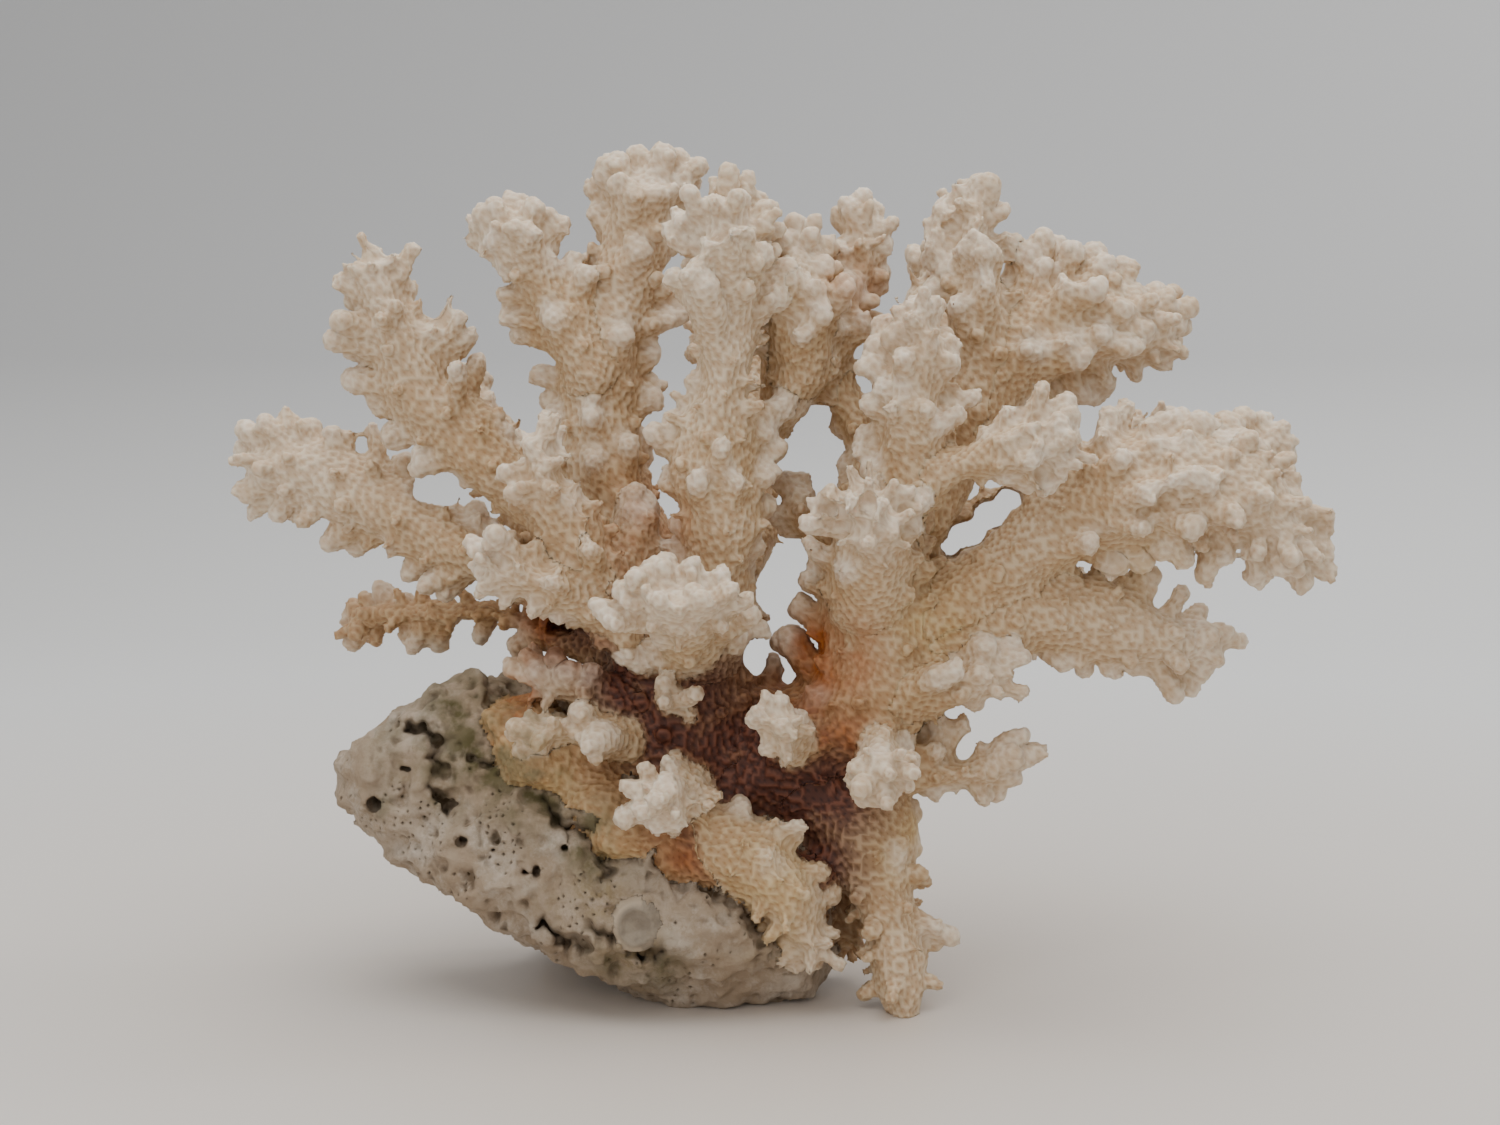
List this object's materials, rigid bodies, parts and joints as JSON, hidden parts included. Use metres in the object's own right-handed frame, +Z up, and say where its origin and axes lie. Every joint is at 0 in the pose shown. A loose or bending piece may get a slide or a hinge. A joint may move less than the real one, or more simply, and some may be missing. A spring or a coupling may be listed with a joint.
{
  "type": "coral specimen",
  "caption": "Bushy branching stony coral with flattened, knobbly branches and pitted surface, standing on its piece of reef rock and one stubby foot.",
  "frame": {"origin": "middle of the bounding box on the surface the specimen stands on", "axes": "+Z up, the viewer of the picture on the -Y side, +X to that viewer's right"},
  "size_m": [0.2257, 0.1038, 0.1747],
  "materials": {
    "coral_cream": "matt cream coral skeleton, pitted, paler at the knobs",
    "coral_pale": "matt near-white coral skeleton",
    "coral_tan": "matt tan coral skeleton with orange-brown stains",
    "coral_dark": "matt dark red-brown net of coral cups",
    "reef_rock": "rough grey-beige reef rock with olive patches",
    "shell_grey": "worn grey shell grown into the rock"
  },
  "bodies": {
    "root": {"round_shell": "shell_grey", "base_rock": "reef_rock", "trunk_core": "coral_dark", "right_trunk": "coral_tan", "left_arm_low": "coral_dark", "left_arm_mid": "coral_cream", "left_fan_high": "coral_cream", "left_front_blade": "coral_cream", "left_front_palm": "coral_cream", "tall_stem": "coral_cream", "mushroom_left": "coral_cream", "centre_column": "coral_pale", "centre_right_fork": "coral_cream", "centre_right_crown": "coral_cream", "arch_branch": "coral_tan", "gap_twig": "coral_cream", "right_front_head": "coral_cream", "small_tree": "coral_cream", "right_hand": "coral_cream", "upper_right_tower": "coral_cream", "upper_right_fan": "coral_cream", "right_arm": "coral_cream", "right_arm_crown": "coral_cream", "right_arm_low": "coral_cream", "right_side_fan": "coral_cream", "right_lower_fan": "coral_cream", "foot_leg": "coral_cream", "rear_leg": "coral_dark", "lower_front_lobe": "coral_tan", "front_star": "coral_pale", "front_cluster_low": "coral_pale", "front_knob_mid": "coral_pale", "front_knob_right": "coral_pale", "oval_stub": "coral_cream", "left_knob_upper": "coral_cream", "left_knob_lower": "coral_cream", "rear_left": "coral_cream", "rear_high_left": "coral_cream", "rear_centre": "coral_cream", "rear_right_high": "coral_cream", "rear_right": "coral_cream", "rear_right_low": "coral_cream", "rear_low": "coral_cream"}
  },
  "joints": []
}
